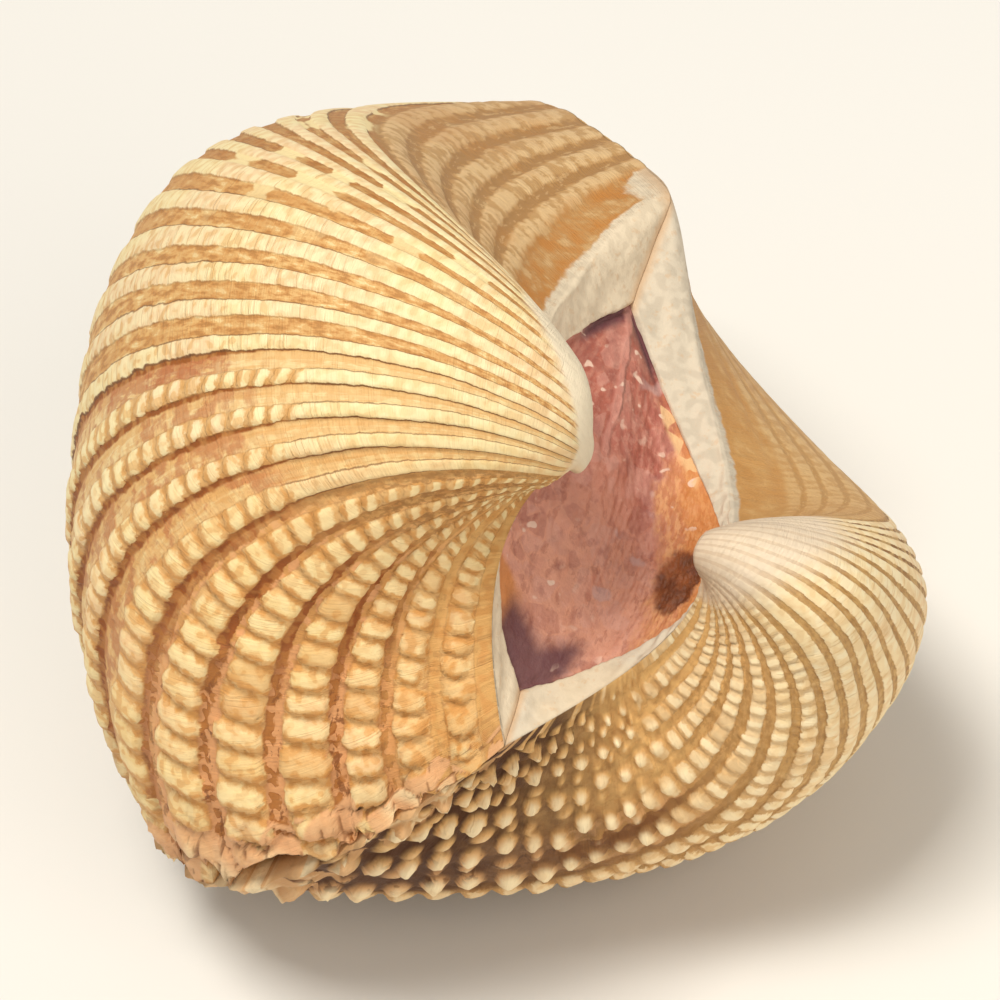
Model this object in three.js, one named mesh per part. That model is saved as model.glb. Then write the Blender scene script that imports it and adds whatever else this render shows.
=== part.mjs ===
// Ark clam shell: two ribbed valves, closed, with the dark ligament between their beaks.
// Millimetres, +Z up. The shell lies on its left valve, and the middle of its box's bottom face is the origin.
//
// Each valve is a growth spiral. Its edge, in the plane where the valves meet, shrinks and turns about the
// beak as it is followed back in time, and the surface that it sweeps is the outside of the valve. The shell is
// worked out in a frame of its own: x to the rear, y out of the right valve, z to the hinge. The left valve is
// mirrored.
import * as THREE from 'three';
import { ParametricGeometry } from 'three/addons/geometries/ParametricGeometry.js';
import { mergeVertices } from 'three/addons/utils/BufferGeometryUtils.js';

// The edge of a valve: a straight hinge line, and a rounded margin given by radii about a point below it.
const HINGE_FRONT = 16.3;
const HINGE_REAR = 19.7;
const EDGE_CENTRE_DROP = 13.2;
const EDGE_RADII = [28.0, 34.9, 35.7, 30.8, 26.2, 24.3, 23.4, 22.3, 20.9, 19.7];

// The growth law: where each beak is, how fast the edge shrinks, and the axis that it turns about.
const BEAK_X = -4.4;
const BEAK_Z = 7.0;
const RIGHT = { beakOut: 6.3, shrink: 0.718, ribShift: 0, beadRise: 0.25, beadFall: 0.4, chip: 0.085 };
const LEFT = { beakOut: 4.1, shrink: 0.652, ribShift: 0.5, beadRise: 0.55, beadFall: 0.6, chip: 0 };
const SHRINK_RISE = 0.031;
const AXIS_TILT = 0.153;
const AXIS_YAW = 0.063;
// The hinge line turns less than the rest of the edge, and the change is short.
const REAR_TURN = 0.535;
const FRONT_TURN = 0.625;
const REAR_EASE = 0.042;
const FRONT_EASE = 0.074;
const TIP_AGE = 3.9;

// Ribs, their beads, and the wall.
const RIB_COUNT = 26;
const RIB_PLACES = [0.042, 0.178, 0.289, 0.457, 0.728, 0.96];
const RIB_HEIGHT = 1.25;
const RIB_TOP_HALF = 0.26;
const FIRST_BEADED_RIB = 17;
const BEADS = 22;
const BEAD_RATE = 14.5;
const BEAD_SLOWING = 1.6;
const ROWS_PER_PLAIN_STEP = 4;
const UMBO_ROWS = 5;
const RIB_FADE_AGE = 2.1;
const WALL = 2.2;
const HINGE_WALL = 3.6;
const WALL_EASE = 0.04;
const EDGE_EASE = 0.1;
const INNER_AGES = [0, 0.18, 0.4, 0.6, 0.8, 0.97];
const INNER_TIP_AGE = 1.5;
const VALVE_GAP = 0.3;

// The cardinal area between hinge line and beak: chalky rims at its ends and a sunk floor for the ligament.
const FLOOR_FRONT = 0.11;
const FLOOR_REAR = 0.79;
const FLOOR_STEP = 0.02;
const FLOOR_DEPTH = 1.4;
const FLOOR_FADE_AGE = 2.6;
const LIGAMENT_INSET = 0.25;
const LIGAMENT_GAP = 0.32;
const LIGAMENT_STEPS = 9;
const FLOOR_LENGTH_STEPS = 3;

// A chip in the right valve's edge, low at the front.
const CHIP_PLACE = 0.8;
const CHIP_HALF_LENGTH = 0.045;
const CHIP_REACH = 0.12;

// How the closed shell lies on its left valve, in degrees: turned about the fixed Z, then Y, then X.
const LIE_X = 42.4;
const LIE_Y = 43.7;
const LIE_Z = 52.1;

const HINGE_MIDDLE_PLACE = 1.5;
const RING_SAMPLES = 24;
const SAME_POINT = 1e-4;
const PROBE = 1e-3;

// A smooth run through evenly spaced values.
function smoothRun(values) {
  const points = values.map((value, i) => new THREE.Vector3(i, value, 0));
  const curve = new THREE.CatmullRomCurve3(points, false, 'catmullrom', 0.5);
  const start = values[0];
  const end = values[values.length - 1];
  const last = values.length - 1;
  return (t) => {
    if (t < 0) return start + t * last * (values[1] - start);
    if (t > 1) return end + (t - 1) * last * (end - values[last - 1]);
    return curve.getPoint(t).y;
  };
}

const rearAngle = Math.atan2(EDGE_CENTRE_DROP, HINGE_REAR);
const frontAngle = Math.atan2(EDGE_CENTRE_DROP, -HINGE_FRONT) - 2 * Math.PI;
const edgeRadius = smoothRun([
  Math.hypot(HINGE_REAR, EDGE_CENTRE_DROP),
  ...EDGE_RADII,
  Math.hypot(HINGE_FRONT, EDGE_CENTRE_DROP),
]);
const ribPlaceRun = smoothRun(RIB_PLACES);
const coilAxis = new THREE.Vector3(
  Math.cos(AXIS_TILT) * Math.cos(AXIS_YAW),
  Math.cos(AXIS_TILT) * Math.sin(AXIS_YAW),
  Math.sin(AXIS_TILT),
);

// A point of the edge. Places 0 to 1 follow the margin from the rear end of the hinge round to its front end,
// and places 1 to 2 follow the hinge line back.
function edgePoint(place) {
  if (place > 1) return new THREE.Vector3(THREE.MathUtils.lerp(-HINGE_FRONT, HINGE_REAR, place - 1), 0, 0);
  const angle = THREE.MathUtils.lerp(rearAngle, frontAngle, place);
  const r = edgeRadius(place);
  return new THREE.Vector3(r * Math.cos(angle), 0, r * Math.sin(angle) - EDGE_CENTRE_DROP);
}

// The share of the turn that a place of the edge takes.
function turnShare(place) {
  if (place > 1) return THREE.MathUtils.lerp(FRONT_TURN, REAR_TURN, place - 1);
  const rearLoss = (1 - REAR_TURN) * Math.exp(-place / REAR_EASE);
  const frontLoss = (1 - FRONT_TURN) * Math.exp((place - 1) / FRONT_EASE);
  return 1 - rearLoss - frontLoss;
}

// The size of the edge at an age, as a share of its size now. Age 0 is the present edge.
const grown = (valve, age) => Math.exp(-valve.shrink * age - SHRINK_RISE * age * age);

// The bare outside of a valve, before ribs: the edge turned and shrunk about the beak.
function bareOutside(valve, place, age) {
  const beak = new THREE.Vector3(BEAK_X, valve.beakOut, BEAK_Z);
  const arm = edgePoint(place).sub(beak);
  arm.applyAxisAngle(coilAxis, age * turnShare(place)).multiplyScalar(grown(valve, age));
  return arm.add(beak);
}

// The outward normal of the bare outside, from two short steps over it.
function outward(valve, place, age) {
  const here = Math.min(Math.max(place, PROBE), 2 - PROBE);
  const later = Math.max(age - PROBE, 0);
  const along = bareOutside(valve, here + PROBE, age).sub(bareOutside(valve, here - PROBE, age));
  const back = bareOutside(valve, place, age + PROBE).sub(bareOutside(valve, place, later));
  return along.cross(back).normalize();
}

// A point set above the bare outside along its normal. Toward the present edge it stays in the edge's plane.
function raised(valve, place, age, rise) {
  const normal = outward(valve, place, age);
  normal.y *= 1 - Math.exp(-age / EDGE_EASE);
  return bareOutside(valve, place, age).addScaledVector(normal, rise);
}

// How far the floor of the cardinal area is sunk at an age, and where its length is divided.
const floorDepth = (age) => FLOOR_DEPTH * Math.max(0, 1 - age / FLOOR_FADE_AGE);
const floorShare = (step) => THREE.MathUtils.lerp(FLOOR_FRONT, FLOOR_REAR, step / FLOOR_LENGTH_STEPS);

// The middle of the ring that the whole edge makes at an age.
function ringMiddle(valve, age) {
  const sum = new THREE.Vector3();
  for (let i = 0; i < RING_SAMPLES; i += 1) sum.add(bareOutside(valve, (2 * i) / RING_SAMPLES, age));
  return sum.divideScalar(RING_SAMPLES);
}

// A point of the inside: the wall's thickness inward from the outside, square to the hinge line along the
// hinge and toward the ring's middle elsewhere. The wall thickens toward the ends of the hinge.
function inside(valve, place, age) {
  const point = bareOutside(valve, place, age);
  const target = ringMiddle(valve, age);
  if (place > 1) target.add(point).sub(bareOutside(valve, HINGE_MIDDLE_PLACE, age));
  const toHinge = place > 1 ? 1 : Math.exp(-place / WALL_EASE) + Math.exp((place - 1) / WALL_EASE);
  const wall = THREE.MathUtils.lerp(WALL, HINGE_WALL, toHinge);
  return point.add(target.sub(point).setLength(wall));
}

// The age at which a number of beads has been passed, counted from the edge: beads = rate·age - slowing·age².
function beadAge(beads) {
  const root = Math.sqrt(BEAD_RATE ** 2 - 4 * BEAD_SLOWING * beads);
  return (BEAD_RATE - root) / (2 * BEAD_SLOWING);
}

// The columns of a valve: its ribs from rear to front, then the cardinal area from front to rear.
// A column's lift is 1 on a rib's top, 0 in a groove and null on smooth shell. Its floor is 1 where it is
// sunk. Columns merge where they share a thinned place at the umbo, or an inner place inside.
function valveColumns(valve) {
  const placeOf = (rib) => ribPlaceRun(rib / (RIB_COUNT - 1));
  const smooth = { lift: null, floor: 0, beaded: false };
  const columns = [{ ...smooth, place: 0, thin: 0, inner: placeOf(valve.ribShift - 0.5) }];
  const ribs = RIB_COUNT - Math.ceil(valve.ribShift);
  for (let i = 0; i < ribs; i += 1) {
    const rib = i + valve.ribShift;
    const thin = placeOf(rib - 0.5);
    const beaded = rib >= FIRST_BEADED_RIB;
    const shared = { thin, inner: thin, floor: 0, beaded };
    columns.push({ ...shared, place: thin, lift: 0 });
    columns.push({ ...shared, place: placeOf(rib - RIB_TOP_HALF), lift: 1 });
    columns.push({ ...shared, place: placeOf(rib + RIB_TOP_HALF), lift: 1 });
  }
  const last = placeOf(ribs - 0.5 + valve.ribShift);
  columns.push({ place: last, thin: last, inner: last, lift: 0, floor: 0, beaded: true });
  columns.push({ ...smooth, place: 1, thin: 1, inner: last });
  const hinge = (share, floor, thinShare) => {
    const thin = 1 + thinShare;
    columns.push({ ...smooth, place: 1 + share, thin, inner: thin, floor });
  };
  hinge(FLOOR_FRONT - FLOOR_STEP, 0, FLOOR_FRONT);
  hinge(FLOOR_FRONT, 1, FLOOR_FRONT);
  for (let i = 1; i < FLOOR_LENGTH_STEPS; i += 1) hinge(floorShare(i), 1, floorShare(i));
  hinge(FLOOR_REAR, 1, FLOOR_REAR);
  hinge(FLOOR_REAR + FLOOR_STEP, 0, FLOOR_REAR);
  return columns;
}

// The rows of a valve, from the beak down the outside, over the edge and up the inside.
function valveRows() {
  const rows = [{ part: 'beak', age: TIP_AGE }];
  const beadEnd = beadAge(BEADS);
  for (let i = 0; i < UMBO_ROWS; i += 1) {
    rows.push({ part: 'umbo', age: THREE.MathUtils.lerp(TIP_AGE, beadEnd, i / UMBO_ROWS) });
  }
  for (let i = 2 * BEADS; i >= 0; i -= 1) {
    const plain = Math.round(i / ROWS_PER_PLAIN_STEP) * ROWS_PER_PLAIN_STEP;
    rows.push({ part: 'ribbed', age: beadAge(i / 2), plainAge: beadAge(plain / 2), onBead: i % 2 === 0 });
  }
  for (const age of INNER_AGES) rows.push({ part: 'inside', age });
  rows.push({ part: 'end', age: INNER_TIP_AGE });
  return rows;
}

// An age moved back where the edge is chipped away, less and less with distance from the edge.
function chipped(valve, place, age) {
  const share = Math.max(0, 1 - ((place - CHIP_PLACE) / CHIP_HALF_LENGTH) ** 2);
  return age + valve.chip * share * Math.exp(-age / CHIP_REACH);
}

// One point of a valve's surface, for a column and a row.
function valvePoint(valve, column, row) {
  if (row.part === 'beak' || row.part === 'end') return ringMiddle(valve, row.age);
  if (row.part === 'umbo') return bareOutside(valve, column.thin, row.age);
  if (row.part === 'inside') return inside(valve, column.inner, chipped(valve, column.inner, row.age));
  const age = chipped(valve, column.place, column.beaded ? row.age : row.plainAge);
  let rise = -column.floor * floorDepth(age);
  if (column.lift !== null) {
    const height = RIB_HEIGHT * grown(valve, age) * Math.max(0, 1 - (age / RIB_FADE_AGE) ** 3);
    const bead = row.onBead ? 1 + valve.beadRise : 1 - valve.beadFall;
    rise = height * (column.lift * (column.beaded ? bead : 1) - 0.5);
  }
  return raised(valve, column.place, age, rise);
}

// A closed mesh from a grid of points: points that coincide are merged, and the triangles that this flattens
// are dropped.
function closedFromGrid(geometry, turnedInsideOut) {
  geometry.deleteAttribute('normal');
  geometry.deleteAttribute('uv');
  const merged = mergeVertices(geometry, SAME_POINT);
  const index = merged.getIndex().array;
  const kept = [];
  for (let i = 0; i < index.length; i += 3) {
    const [a, b, c] = [index[i], index[i + 1], index[i + 2]];
    if (a === b || b === c || c === a) continue;
    kept.push(...(turnedInsideOut ? [a, c, b] : [a, b, c]));
  }
  merged.setIndex(kept);
  merged.computeVertexNormals();
  return merged;
}

function valveGeometry(valve, side) {
  const columns = valveColumns(valve);
  const rows = valveRows();
  const atGrid = (u, v, target) => {
    const column = columns[Math.round(u * columns.length) % columns.length];
    const row = rows[Math.round(v * (rows.length - 1))];
    const point = valvePoint(valve, column, row);
    target.set(point.x, side * (point.y + VALVE_GAP / 2), point.z);
  };
  return closedFromGrid(new ParametricGeometry(atGrid, columns.length, rows.length - 1), side > 0);
}

// The ligament: a sheet in the sunk floors of both cardinal areas, bent in a V over the hinge line. It starts
// as a box with one unit to each step, and each of its points is carried to its place over the floors.
function ligamentGeometry() {
  const steps = 2 * LIGAMENT_STEPS;
  const box = new THREE.BoxGeometry(steps, FLOOR_LENGTH_STEPS, 1, steps, FLOOR_LENGTH_STEPS, 1);
  const position = box.getAttribute('position');
  for (let i = 0; i < position.count; i += 1) {
    const side = position.getX(i) < 0 ? -1 : 1;
    const valve = side > 0 ? RIGHT : LEFT;
    const step = Math.round(Math.abs(position.getX(i)));
    const age = beadAge((ROWS_PER_PLAIN_STEP / 2) * step);
    const along = floorShare(Math.round(position.getY(i) + FLOOR_LENGTH_STEPS / 2));
    const share = THREE.MathUtils.clamp(along, FLOOR_FRONT + FLOOR_STEP, FLOOR_REAR - FLOOR_STEP);
    const depth = position.getZ(i) > 0 ? LIGAMENT_INSET : floorDepth(age) - LIGAMENT_GAP;
    const point = raised(valve, 1 + share, age, -depth);
    position.setXYZ(i, point.x, side * point.y, point.z);
  }
  return closedFromGrid(box, true);
}

const finish = (color, roughness) => new THREE.MeshStandardMaterial({ color, roughness, metalness: 0 });

function piece(name, geometry, material) {
  const mesh = new THREE.Mesh(geometry, material);
  mesh.name = name;
  return mesh;
}

const shell = new THREE.Group();
shell.add(piece('right_valve', valveGeometry(RIGHT, 1), finish(0xdcb67c, 0.6)));
shell.add(piece('left_valve', valveGeometry(LEFT, -1), finish(0xd0aa72, 0.6)));
shell.add(piece('ligament', ligamentGeometry(), finish(0x8a4a40, 0.55)));
shell.rotation.set(
  THREE.MathUtils.degToRad(LIE_X),
  THREE.MathUtils.degToRad(LIE_Y),
  THREE.MathUtils.degToRad(LIE_Z),
);

// The shell is moved so that it stands on Z = 0, over the origin.
const object = new THREE.Group();
object.add(shell);
object.updateMatrixWorld(true);
const extent = new THREE.Box3().setFromObject(shell, true);
const middle = extent.getCenter(new THREE.Vector3());
shell.position.set(-middle.x, -middle.y, -extent.min.z);

export default object;
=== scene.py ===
"""Ark clam shell, closed and lying on its left valve: two ribbed valves and the dried ligament."""
import math

import bpy
import numpy as np
from mathutils import Euler, Matrix, Vector


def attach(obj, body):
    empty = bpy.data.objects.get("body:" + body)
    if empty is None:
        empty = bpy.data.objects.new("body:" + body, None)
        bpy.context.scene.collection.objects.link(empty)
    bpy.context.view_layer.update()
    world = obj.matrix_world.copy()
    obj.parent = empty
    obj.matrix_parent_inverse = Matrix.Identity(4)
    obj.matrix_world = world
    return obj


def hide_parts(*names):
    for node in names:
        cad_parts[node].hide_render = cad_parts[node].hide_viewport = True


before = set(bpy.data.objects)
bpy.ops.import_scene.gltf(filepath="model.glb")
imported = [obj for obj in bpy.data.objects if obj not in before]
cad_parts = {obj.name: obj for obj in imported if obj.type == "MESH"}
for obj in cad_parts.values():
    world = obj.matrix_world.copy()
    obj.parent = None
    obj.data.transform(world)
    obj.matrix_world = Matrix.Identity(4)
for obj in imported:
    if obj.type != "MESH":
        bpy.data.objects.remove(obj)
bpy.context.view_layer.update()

# Right valve. One piece of shell, grown as a spiral from its beak and held to the other half by the ligament.
# Cream ribs, beaded toward the front, stand on rusty brown spaces. Lengths are in millimetres, in the shell's
# own frame: x to the rear, y out of the right valve, z to the hinge.
HINGE_FRONT = 16.3
HINGE_REAR = 19.7
EDGE_CENTRE_DROP = 13.2
EDGE_RADII = [28.0, 34.9, 35.7, 30.8, 26.2, 24.3, 23.4, 22.3, 20.9, 19.7]
BEAK_X = -4.4
BEAK_Z = 7.0
SHRINK_RISE = 0.031
AXIS_TILT = 0.153
AXIS_YAW = 0.063
REAR_TURN = 0.535
FRONT_TURN = 0.625
REAR_EASE = 0.042
FRONT_EASE = 0.074
TIP_AGE = 3.9
EDGE_EASE = 0.1
PROBE = 1e-3

RIB_COUNT = 26
RIB_PLACES = [0.042, 0.110, 0.178, 0.2295, 0.287, 0.369, 0.463, 0.587, 0.729, 0.870, 0.973]
HINGE_RIB = 40.0
RELIEF_END_AGE = 2.45
BARE_RIB = 16
BARE_RIBS = 8
UMBO_WIDENING = 0.08
FRONT_NARROWING = 0.12
BEAD_SLOWING = 0.8
PEG_HEIGHT = 1.9
EDGE_SIZE = 30.0
TABLE_RIBS = 32
TABLE_BEADS = 64

SEAM_GAP = 0.06
WALL = 2.2
HINGE_WALL = 3.6
WALL_EASE = 0.04
INNER_AGES = [0.0, 0.05, 0.18, 0.4, 0.6, 0.8, 0.97]
INNER_TIP_AGE = 1.5

FLOOR_FRONT = 0.11
FLOOR_REAR = 0.79
FLOOR_STEP = 0.02
FLOOR_DEPTH = 1.4
FLOOR_FADE_AGE = 2.6

FIRST_FINE_RIB = 14
COLUMNS_PER_REAR_RIB = 11
COLUMNS_PER_FRONT_RIB = 15
BEADED_ROWS = 206
UMBO_ROWS = 24

LIE = [math.radians(angle) for angle in (42.4, 43.7, 52.1)]
SHELL_PLACE = np.array([6.270, -14.106, 27.331])
MM = 0.001

# What differs between the valves. side: which way it lies from the plane of the edges. low_rib, high_rib,
# slope_rib: the height of ribs at the rear, at the front and on the rear slope. crests: half a crest's width
# at the rear, middle and front, in ribs. tilt: the slant of the beads, and what is added toward the umbo.
# umbo: how far it swells, the ages where that starts and is full, and the first and last ribs. bare: the age
# where ribs end, how much sooner on each rib before BARE_RIB, and over how long they fade.
RIGHT = {
    "side": 1, "seed": 3, "beak_out": 6.3, "shrink": 0.718, "rib_shift": 0.0,
    "low_rib": 0.3, "high_rib": 0.95, "slope_rib": 0.34, "shoulder": 0.34,
    "crests": (0.255, 0.205, 0.33), "widening": 1.0,
    "bead_rate": 13.8, "closer": 0.3, "tilt": (0.6, 0.4), "pegs": 0.0,
    "umbo": (-0.4, 2.6, 3.4, -10, 40), "bare": (2.8, 0.09, 0.4),
    "chip": 0.06, "broken": 1.0,
}

rear_angle = math.atan2(EDGE_CENTRE_DROP, HINGE_REAR)
front_angle = math.atan2(EDGE_CENTRE_DROP, -HINGE_FRONT) - 2 * math.pi
coil_axis = np.array([
    math.cos(AXIS_TILT) * math.cos(AXIS_YAW),
    math.cos(AXIS_TILT) * math.sin(AXIS_YAW),
    math.sin(AXIS_TILT),
])
lie_turn = np.array(Euler(LIE, "ZYX").to_matrix())


def smooth_run(values, t):
    """A smooth run through evenly spaced values: between two of them a cubic whose slope at each is half the
    difference of its neighbours, and a straight line beyond the ends."""
    values = np.asarray(values, float)
    last = len(values) - 1
    padded = np.concatenate([[2 * values[0] - values[1]], values, [2 * values[-1] - values[-2]]])
    at = np.asarray(t, float) * last
    left = np.clip(np.floor(at).astype(int), 0, last - 1)
    f = np.clip(at - left, 0, 1)
    a, b, c, d = (padded[left + i] for i in range(4))
    inner = b + 0.5 * f * (c - a + f * (2 * a - 5 * b + 4 * c - d + f * (3 * (b - c) + d - a)))
    before = np.minimum(at, 0) * (values[1] - values[0])
    after = np.maximum(at - last, 0) * (values[-1] - values[-2])
    return inner + before + after


def step(value, low, high):
    """0 below low, 1 above high, and 3f^2 - 2f^3 between them."""
    f = np.clip((value - low) / (high - low), 0, 1)
    return f * f * (3 - 2 * f)


def drift(x, y, seed, waves=7):
    """A smooth irregular surface between about -1 and 1: a sum of sine waves that cross it every way."""
    random = np.random.default_rng(seed)
    angles = random.uniform(0, 2 * math.pi, waves)
    lengths = random.uniform(0.5, 2.0, waves)
    shifts = random.uniform(0, 2 * math.pi, waves)
    total = 0.0
    for angle, length, shift in zip(angles, lengths, shifts):
        total = total + np.sin((x * math.cos(angle) + y * math.sin(angle)) * 2 * math.pi * length + shift)
    return total / math.sqrt(waves)


def edge_point(place):
    """The present edge. Places 0 to 1 go round the margin from the rear end of the hinge to its front end, at
    a radius about a centre below the hinge, and places 1 to 2 follow the straight hinge line back."""
    radii = [math.hypot(HINGE_REAR, EDGE_CENTRE_DROP), *EDGE_RADII, math.hypot(HINGE_FRONT, EDGE_CENTRE_DROP)]
    angle = rear_angle + (front_angle - rear_angle) * place
    radius = smooth_run(radii, place)
    hinge_x = -HINGE_FRONT + (HINGE_FRONT + HINGE_REAR) * (place - 1)
    x = np.where(place > 1, hinge_x, radius * np.cos(angle))
    z = np.where(place > 1, 0.0, radius * np.sin(angle) - EDGE_CENTRE_DROP)
    return np.stack([x, np.zeros_like(x), z], -1)


def grown(valve, age):
    """The size of the edge at an age, as a share of its size now."""
    return np.exp(-valve["shrink"] * age - SHRINK_RISE * age * age)


def bare_outside(valve, place, age):
    """The outside before ribs: the edge turned about the coil axis through the beak, in step with age, and
    shrunk toward the beak. The hinge line turns less than the margin, and the change between is short."""
    place, age = np.broadcast_arrays(np.asarray(place, float), np.asarray(age, float))
    beak = np.array([BEAK_X, valve["beak_out"], BEAK_Z])
    on_margin = np.clip(place, 0, 1)
    margin_turn = 1 - (1 - REAR_TURN) * np.exp(-on_margin / REAR_EASE)
    margin_turn = margin_turn - (1 - FRONT_TURN) * np.exp((on_margin - 1) / FRONT_EASE)
    hinge_turn = FRONT_TURN + (REAR_TURN - FRONT_TURN) * (place - 1)
    angle = (age * np.where(place > 1, hinge_turn, margin_turn))[..., None]
    arm = edge_point(place) - beak
    along = (arm @ coil_axis)[..., None] * coil_axis
    turned = arm * np.cos(angle) + np.cross(coil_axis, arm) * np.sin(angle) + along * (1 - np.cos(angle))
    return beak + turned * grown(valve, age)[..., None]


def raised(valve, place, age, rise):
    """A point at a height above the bare outside, along its normal from short steps both ways. Toward the
    present edge the normal leans into the plane of the edge."""
    here = np.clip(place, PROBE, 2 - PROBE)
    along = bare_outside(valve, here + PROBE, age) - bare_outside(valve, here - PROBE, age)
    back = bare_outside(valve, place, age + PROBE) - bare_outside(valve, place, np.maximum(age - PROBE, 0))
    normal = np.cross(along, back)
    normal /= np.linalg.norm(normal, axis=-1, keepdims=True)
    normal[..., 1] *= 1 - np.exp(-np.broadcast_to(age, normal.shape[:-1]) / EDGE_EASE)
    return bare_outside(valve, place, age) + normal * np.asarray(rise)[..., None]


def ring_middle(valve, age):
    """The middle of the ring that the whole edge makes at an age, for one age or several."""
    return bare_outside(valve, np.linspace(0, 2, 48, endpoint=False)[:, None], np.atleast_1d(age)).mean(0)


def inside(valve, place, age):
    """The inside: the wall's thickness inward, square to the hinge line along the hinge and toward the
    ring's middle elsewhere."""
    point = bare_outside(valve, place, age)
    target = np.broadcast_to(ring_middle(valve, age), point.shape)
    shift = np.where((place > 1)[:, None], point - bare_outside(valve, 1.5, age), 0)
    way = target + shift - point
    way /= np.linalg.norm(way, axis=-1, keepdims=True)
    near_hinge = np.exp(-place / WALL_EASE) + np.exp((np.minimum(place, 1) - 1) / WALL_EASE)
    share = np.where(place > 1, 1, np.minimum(near_hinge, 1))
    return point + way * (WALL + (HINGE_WALL - WALL) * share)[:, None]


def columns_of():
    """The columns of a valve's grid: rib numbers and places round the margin, closer together on the front
    ribs, then places along the hinge, closer together at the steps down to the sunk floor."""
    rear_ribs = np.linspace(-0.5, FIRST_FINE_RIB - 0.5, FIRST_FINE_RIB * COLUMNS_PER_REAR_RIB, endpoint=False)
    front_columns = (RIB_COUNT - FIRST_FINE_RIB) * COLUMNS_PER_FRONT_RIB
    front_ribs = np.linspace(FIRST_FINE_RIB - 0.5, RIB_COUNT - 0.5, front_columns + 1)
    ribs = np.concatenate([rear_ribs, front_ribs])
    places = smooth_run(RIB_PLACES, ribs / (RIB_COUNT - 1))
    kept = (places > 0.003) & (places < 0.985)
    rear = np.array([0.0, 0.0015, 0.004, 0.008, 0.014, 0.021])
    front = np.array([0.989, 0.9925, 0.996, 1.0])
    low, high = FLOOR_FRONT - FLOOR_STEP, FLOOR_REAR + FLOOR_STEP
    hinge = 1 + np.concatenate([
        np.linspace(0.01, low, 9),
        np.linspace(low, FLOOR_FRONT + 0.004, 7)[1:],
        np.linspace(FLOOR_FRONT + 0.004, FLOOR_REAR - 0.004, 18)[1:-1],
        np.linspace(FLOOR_REAR - 0.004, high, 7),
        np.linspace(high, 0.992, 14)[1:],
    ])
    place = np.concatenate([rear, places[kept], front, hinge])
    before, after = np.full(len(rear), -0.5), np.full(len(front), RIB_COUNT - 0.5)
    rib = np.concatenate([before, ribs[kept], after, np.full(len(hinge), HINGE_RIB)])
    return place, rib


def bead_number(valve, rib, age):
    """How many beads lie between the edge and an age, on a rib: rate times age less slowing times age
    squared, fewer on the foremost ribs and more on the middle ones, with each rib's own start and a slow
    drift. A bead's front end is younger than its rear end, and more so toward the umbo."""
    number = np.round(rib)
    phase = rib - number
    starts = np.random.default_rng(valve["seed"]).uniform(-0.3, 0.3, TABLE_BEADS)
    start = starts[np.clip(number.astype(int), 0, TABLE_BEADS - 1)]
    share = 1.12 - 0.6 * np.clip((number - 18) / 7, 0, 1) ** 0.7
    share = share + valve["closer"] * np.clip((18.5 - number) / 2, 0, 1)
    count = share * (valve["bead_rate"] * age - BEAD_SLOWING * age * age)
    count = count + 0.8 * (1 - np.exp(-age / 0.3))
    tilt = valve["tilt"][0] + valve["tilt"][1] * step(age, 0.8, 1.6)
    return count + start + 0.12 * drift(number * 0.37, age * 2.2, valve["seed"] + 1) + tilt * phase


def crest_half(valve, rib, age):
    """Half the width of a rib's crest, in ribs, for the rear, middle and front of the shell. Toward the umbo
    the front crests are narrower and the others wider."""
    rear, middle, front = valve["crests"]
    at_front = step(rib, 18, 20.5)
    half = rear + (middle - rear) * step(rib, 12.5, 14) + (front - middle) * at_front
    half = half - FRONT_NARROWING * valve["widening"] * step(age, 1.1, 1.9) * at_front
    return half + UMBO_WIDENING * valve["widening"] * step(age, 1.3, 2.3) * (1 - at_front)


def beaded_share(valve, rib, age):
    """How much of a rib's height is in its beads: most on the middle ribs while they are young and all on the
    front ribs, with a little on the ribs before them and on the rear slope."""
    young = step(1.42 - age - 0.05 * (np.round(rib) - 18), 0, 0.15)
    beaded = np.maximum(0.75 * step(rib, 15.4, 16.2) * young, step(rib, 19.4, 19.6))
    beaded = np.maximum(beaded, 0.45 * step(rib, 11.4, 13.6) * step(1.2 - age, 0, 0.2))
    beaded = np.maximum(beaded, 0.25 * (1 - step(rib, 4.2, 4.8)))
    return np.maximum(beaded, valve["pegs"] * step(rib, 14.4, 17.6))


def bead_tables(valve):
    """Three random numbers for each bead of each rib: its size, and how far it stands aside as a peg and as a
    bar, in ribs."""
    random = np.random.default_rng(valve["seed"] + 7)
    count = TABLE_RIBS * TABLE_BEADS
    sizes = random.uniform(0.74, 1.14, count)
    scatters = random.uniform(-0.13, 0.13, count)
    return sizes, scatters, random.uniform(-0.07, 0.07, count)


def table_place(rib, bead):
    """The place of a bead in the tables, from the whole numbers of its rib and of itself."""
    row = np.clip(rib, 0, TABLE_RIBS - 1)
    return (row * TABLE_BEADS + np.clip(bead, 0, TABLE_BEADS - 1)).astype(int)


def pegs(valve, rib, age, across, pulse, size):
    """The height of the pegs. Each is a rounded cone: 1 less its distance from the middle, in its own widths,
    to the power 1.4. Lanes of smaller ones lie between the rows. At the front corner those of the rows are
    narrower, and those of the lanes higher."""
    sizes, scatters, _ = bead_tables(valve)
    corner = step(rib, 22, 24.5)
    away = np.hypot(across / (0.33 - 0.1 * corner), pulse / (0.9 - 0.35 * corner))
    lane = np.round(rib - 0.5)
    count = 11 * age + 0.37 * lane + 0.2 * drift(lane * 0.41, age * 3, valve["seed"] + 8)
    nearest = np.round(count)
    own = table_place(lane, nearest)
    lane_away = np.hypot((rib - 0.5 - lane + scatters[own]) / 0.24, (count - nearest) / 0.42)
    small = np.clip(1 - lane_away ** 1.4, 0, 1) * (0.62 + 0.25 * corner) * sizes[own]
    return PEG_HEIGHT * np.maximum(np.clip(1 - away ** 1.4, 0, 1) * size, small)


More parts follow.
